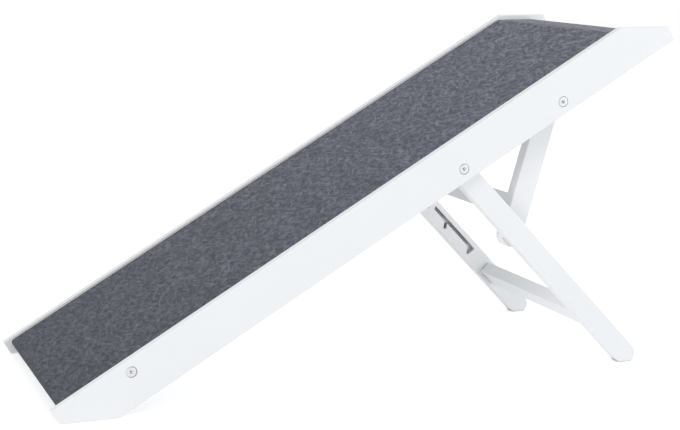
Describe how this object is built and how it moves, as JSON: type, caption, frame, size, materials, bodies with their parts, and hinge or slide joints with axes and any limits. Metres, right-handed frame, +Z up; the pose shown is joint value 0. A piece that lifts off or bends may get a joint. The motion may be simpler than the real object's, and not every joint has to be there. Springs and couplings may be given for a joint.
{
  "type": "folding pet ramp",
  "caption": "Folding pet ramp of white painted wood with a carpeted deck between side rails, a level landing and a notched folding support.",
  "frame": {"origin": "middle of the bounding box's base: the floor under the ramp, halfway along it and halfway across it, as it stands in the picture", "axes": "+X runs up the ramp towards the landing, +Y is towards the ramp's left as seen by a pet walking up, +Z is up"},
  "size_m": [0.895, 0.386, 0.4851],
  "materials": {
    "white_paint": "white satin paint over solid wood, edges eased by hand",
    "carpet_felt": "needle-punched felt carpet, heathered charcoal grey, matt",
    "beech": "bare beech, glued",
    "zinc_steel": "bright zinc plating",
    "brass": "turned, plain",
    "nylon": "natural nylon"
  },
  "bodies": {
    "ramp_frame": {"side_rail_right": "white_paint", "deck_bolt_right": "zinc_steel", "deck_barrel_nut_right": "zinc_steel", "leg_washer_right": "nylon", "brace_spacer_right": "nylon", "landing_dowel_right_low": "beech", "landing_dowel_right_high": "beech", "side_rail_left": "white_paint", "deck_bolt_left": "zinc_steel", "deck_barrel_nut_left": "zinc_steel", "leg_washer_left": "nylon", "brace_spacer_left": "nylon", "landing_dowel_left_low": "beech", "landing_dowel_left_high": "beech", "deck_board": "white_paint", "landing_rail": "white_paint", "carpet": "carpet_felt", "deck_dowel_1": "beech", "deck_dowel_2": "beech", "deck_dowel_3": "beech"},
    "leg_frame": {"support_leg_right": "white_paint", "leg_pivot_bolt_right": "zinc_steel", "leg_insert_right": "brass", "leg_dowel_right_upper": "beech", "leg_dowel_right_lower": "beech", "support_leg_left": "white_paint", "leg_pivot_bolt_left": "zinc_steel", "leg_insert_left": "brass", "leg_dowel_left_upper": "beech", "leg_dowel_left_lower": "beech", "leg_stretcher": "white_paint"},
    "brace_frame": {"brace_right": "white_paint", "brace_pivot_bolt_right": "zinc_steel", "brace_insert_right": "brass", "notch_pin_right": "zinc_steel", "pin_washer_right": "nylon", "brace_dowel_right_upper": "beech", "brace_dowel_right_lower": "beech", "brace_left": "white_paint", "brace_pivot_bolt_left": "zinc_steel", "brace_insert_left": "brass", "notch_pin_left": "zinc_steel", "pin_washer_left": "nylon", "brace_dowel_left_upper": "beech", "brace_dowel_left_lower": "beech", "brace_stretcher": "white_paint"}
  },
  "joints": [
    {"name": "leg_fold", "type": "hinge", "parent": "ramp_frame", "child": "leg_frame", "pos_m": [0.12334, 0, 0.29897], "axis": [0, 1, 0], "range_deg": [0, 103.1]},
    {"name": "brace_fold", "type": "hinge", "parent": "ramp_frame", "child": "brace_frame", "pos_m": [0.27281, 0, 0.38527], "axis": [0, 1, 0], "range_deg": [0, 41.9]}
  ],
  "couplings": [
    {"joint": "brace_fold", "follows": "leg_fold", "ratio": 0.40587}
  ]
}
